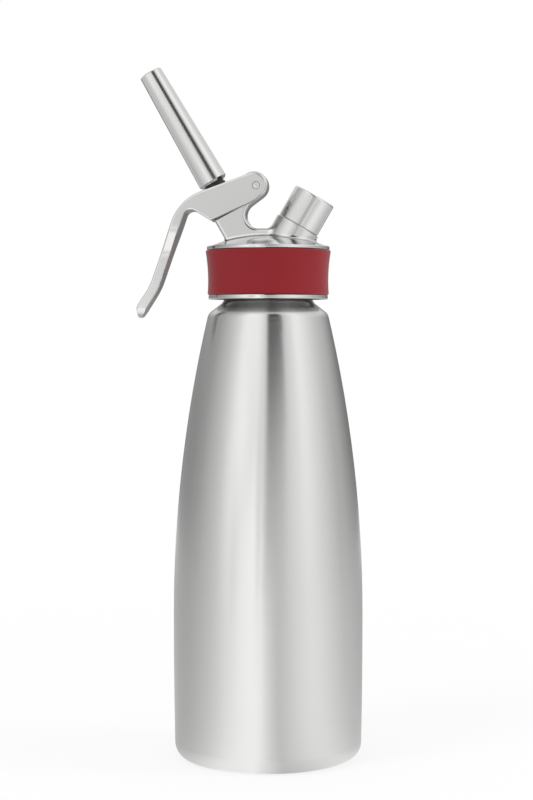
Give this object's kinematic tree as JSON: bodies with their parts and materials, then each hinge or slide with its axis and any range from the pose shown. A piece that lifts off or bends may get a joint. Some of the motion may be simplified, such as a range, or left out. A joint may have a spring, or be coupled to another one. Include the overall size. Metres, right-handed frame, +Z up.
{
  "type": "whipped cream dispenser",
  "caption": "Slim steel pressure bottle with a screw-on head that carries a squeeze lever, a slanted valve with a long nozzle and a capped gas-charger inlet.",
  "frame": {"origin": "centre of the bottle's base, on the plane it stands on", "axes": "+Z up the bottle's axis, -X towards the lever and nozzle, +X towards the charger inlet"},
  "size_m": [0.1126, 0.0944, 0.3446],
  "materials": {
    "brushed_bottle": "fine brushed round the axis",
    "satin_steel": "satin",
    "turned_steel": "turned",
    "polished_steel": "polished",
    "red_silicone": "matte silicone",
    "grey_silicone": "silicone",
    "black_rubber": "rubber",
    "black_plastic": "matte",
    "spring_steel": "drawn wire"
  },
  "bodies": {
    "bottle": {"bottle_shell": "brushed_bottle", "neck_ring": "turned_steel"},
    "head": {"head_casting": "satin_steel", "grip_band": "red_silicone", "head_gasket": "grey_silicone", "pivot_pin": "polished_steel", "valve_bush": "turned_steel", "valve_spring": "spring_steel", "inlet_stub": "turned_steel", "inlet_o_ring": "black_rubber", "piercing_pin": "polished_steel", "charger_seal": "black_rubber", "check_valve": "black_rubber"},
    "lever": {"lever": "satin_steel"},
    "valve": {"valve_stem": "turned_steel", "valve_seal": "black_rubber", "stem_o_ring": "black_rubber", "valve_collar": "turned_steel", "black_ring": "black_plastic"},
    "nozzle": {"nozzle_tube": "polished_steel", "nozzle_seal": "black_rubber"},
    "cap": {"cap_shell": "polished_steel", "cap_liner": "grey_silicone"}
  },
  "joints": [
    {"name": "head_lift", "type": "slide", "parent": "bottle", "child": "head", "axis": [0, 0, 1], "range_m": [0, 0.1]},
    {"name": "lever_squeeze", "type": "hinge", "parent": "head", "child": "lever", "pos_m": [-0.00541, 0, 0.28467], "axis": [0, -1, 0], "range_deg": [0, 14], "stiffness_Nm_per_rad": 1.2, "springref_deg": -22.92},
    {"name": "valve_stroke", "type": "slide", "parent": "head", "child": "valve", "axis": [0.5, 0, -0.866], "range_m": [0, 0.0046], "deforming": ["valve_spring"]},
    {"name": "nozzle_lift", "type": "slide", "parent": "valve", "child": "nozzle", "axis": [-0.5, 0, 0.866], "range_m": [0, 0.03]},
    {"name": "cap_lift", "type": "slide", "parent": "head", "child": "cap", "axis": [0.5, 0, 0.866], "range_m": [0, 0.03]}
  ],
  "couplings": [
    {"joint": "valve_stroke", "follows": "lever_squeeze", "m_per_rad": 0.0186}
  ]
}
